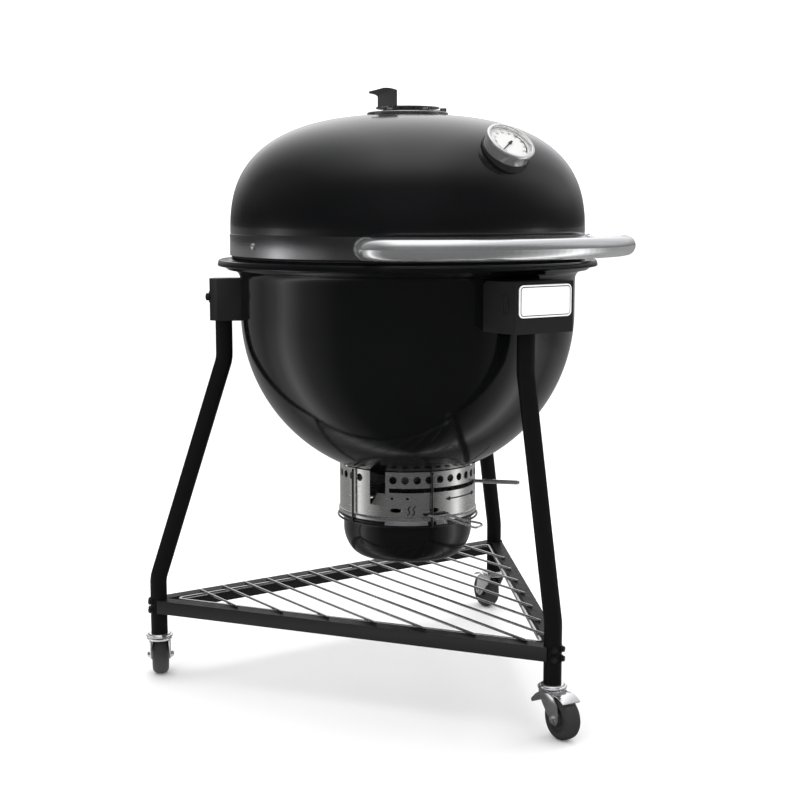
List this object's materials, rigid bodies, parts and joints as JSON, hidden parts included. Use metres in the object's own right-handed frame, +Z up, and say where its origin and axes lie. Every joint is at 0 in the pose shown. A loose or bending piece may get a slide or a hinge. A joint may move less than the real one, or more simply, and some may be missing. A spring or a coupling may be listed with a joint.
{
  "type": "kettle charcoal grill",
  "caption": "Double-walled kettle charcoal grill with hinged lid, tube handle, lid thermometer, top vent, ash pot, wire shelf and caster stand.",
  "frame": {"origin": "middle of the bounding box's footprint, on the ground under the wheels", "axes": "+Z up, front of the grill (handle, thermometer, badge) toward -Y, lid hinge toward +Y"},
  "size_m": [0.9035, 0.9107, 1.147],
  "materials": {
    "black_enamel": "mirror gloss porcelain enamel",
    "powder_coat": "semi-gloss black powder coat",
    "polished_steel": "polished stainless steel",
    "brushed_steel": "brushed stainless steel",
    "chrome": "chrome plating",
    "cast_iron": "bare steel rods, dull",
    "seal": "woven black seal",
    "black_plastic": "matt black heat-proof plastic",
    "wheel_rubber": "dark grey tread",
    "dial": "white printed dial",
    "gauge_glass": "clear flat glass"
  },
  "bodies": {
    "stand": {"bowl_shell": "black_enamel", "bowl_liner": "black_enamel", "rim_gasket": "seal", "cooking_grate": "brushed_steel", "charcoal_grate": "cast_iron", "grate_support_front": "brushed_steel", "grate_support_left": "brushed_steel", "grate_support_right": "brushed_steel", "ash_collar": "brushed_steel", "leg_front": "powder_coat", "leg_left": "powder_coat", "leg_right": "powder_coat", "bracket_front": "powder_coat", "bracket_left": "powder_coat", "bracket_right": "powder_coat", "badge_plate": "polished_steel", "bracket_bolt_left": "chrome", "bracket_bolt_right": "chrome", "frame_bar_left": "powder_coat", "frame_bar_right": "powder_coat", "frame_bar_rear": "powder_coat", "shelf_rack": "chrome", "caster_race_front": "chrome", "caster_race_left": "chrome", "caster_race_right": "chrome", "hinge_bracket": "powder_coat", "hinge_pin": "chrome", "hinge_spring": "brushed_steel"},
    "lid": {"lid_shell": "black_enamel", "lid_liner": "black_enamel", "lid_band": "brushed_steel", "band_screw_left": "chrome", "band_screw_right": "chrome", "lid_handle": "polished_steel", "hinge_arm": "powder_coat", "gauge_case": "polished_steel", "gauge_dial": "dial", "gauge_glass": "gauge_glass", "gauge_probe": "brushed_steel", "vent_base": "brushed_steel", "vent_pin": "chrome"},
    "needle": {"gauge_pointer": "black_plastic"},
    "vent_flap": {"vent_cap": "brushed_steel"},
    "vent_damper": {"vent_disc": "brushed_steel", "vent_knob": "black_plastic"},
    "ash_damper": {"sweep_blades": "brushed_steel", "damper_lever": "chrome"},
    "pot": {"ash_pot": "black_enamel", "pot_cage": "chrome"},
    "pot_grip": {"pot_handle": "chrome"},
    "caster_front": {"caster_fork_front": "chrome", "caster_axle_front": "chrome"},
    "wheel_front": {"caster_wheel_front": "wheel_rubber"},
    "brake": {"brake_pedal": "chrome"},
    "caster_left": {"caster_fork_left": "chrome", "caster_axle_left": "chrome"},
    "wheel_left": {"caster_wheel_left": "wheel_rubber"},
    "caster_right": {"caster_fork_right": "chrome", "caster_axle_right": "chrome"},
    "wheel_right": {"caster_wheel_right": "wheel_rubber"}
  },
  "joints": [
    {"name": "lid_hinge", "type": "hinge", "parent": "stand", "child": "lid", "pos_m": [0.00209, 0.43674, 0.815], "axis": [-1, 0, 0], "range_deg": [0, 90]},
    {"name": "gauge_needle", "type": "hinge", "parent": "lid", "child": "needle", "pos_m": [0.00209, -0.25349, 1.03229], "axis": [0, -0.6717, 0.7408], "range_deg": [-250, 0]},
    {"name": "vent_flip", "type": "hinge", "parent": "lid", "child": "vent_flap", "pos_m": [0.05711, 0.01178, 1.105], "axis": [0.5878, 0.809, 0], "range_deg": [0, 100]},
    {"name": "vent_turn", "type": "hinge", "parent": "vent_flap", "child": "vent_damper", "pos_m": [0.00209, 0.05174, 1.108], "axis": [0, 0, 1], "range_deg": [0, 45]},
    {"name": "damper_turn", "type": "hinge", "parent": "stand", "child": "ash_damper", "pos_m": [0.00209, 0.05174, 0.3915], "axis": [0, 0, 1], "range_deg": [-52, 0]},
    {"name": "pot_drop", "type": "slide", "parent": "stand", "child": "pot", "axis": [0, 0, -1], "range_m": [0, 0.06]},
    {"name": "pot_handle_swing", "type": "hinge", "parent": "pot", "child": "pot_grip", "pos_m": [-0.02881, -0.08764, 0.3459], "axis": [0.9763, -0.2164, 0], "range_deg": [-20, 45]},
    {"name": "caster_swivel_front", "type": "hinge", "parent": "stand", "child": "caster_front", "pos_m": [0.00209, -0.38446, 0.085], "axis": [0, 0, 1], "continuous": true},
    {"name": "wheel_spin_front", "type": "hinge", "parent": "caster_front", "child": "wheel_front", "pos_m": [-0.00125, -0.41628, 0.038], "axis": [0.9945, -0.1045, 0], "continuous": true},
    {"name": "brake_press", "type": "hinge", "parent": "caster_front", "child": "brake", "pos_m": [0.00251, -0.38048, 0.0739], "axis": [0.9945, -0.1045, 0], "range_deg": [-12, 0]},
    {"name": "caster_swivel_left", "type": "hinge", "parent": "stand", "child": "caster_left", "pos_m": [-0.42123, 0.30011, 0.085], "axis": [0, 0, 1], "continuous": true},
    {"name": "wheel_spin_left", "type": "hinge", "parent": "caster_left", "child": "wheel_left", "pos_m": [-0.40621, 0.32836, 0.038], "axis": [-0.8829, 0.4695, 0], "continuous": true},
    {"name": "caster_swivel_right", "type": "hinge", "parent": "stand", "child": "caster_right", "pos_m": [0.42541, 0.30011, 0.085], "axis": [0, 0, 1], "continuous": true},
    {"name": "wheel_spin_right", "type": "hinge", "parent": "caster_right", "child": "wheel_right", "pos_m": [0.42987, 0.3318, 0.038], "axis": [-0.9903, 0.1392, 0], "continuous": true}
  ]
}
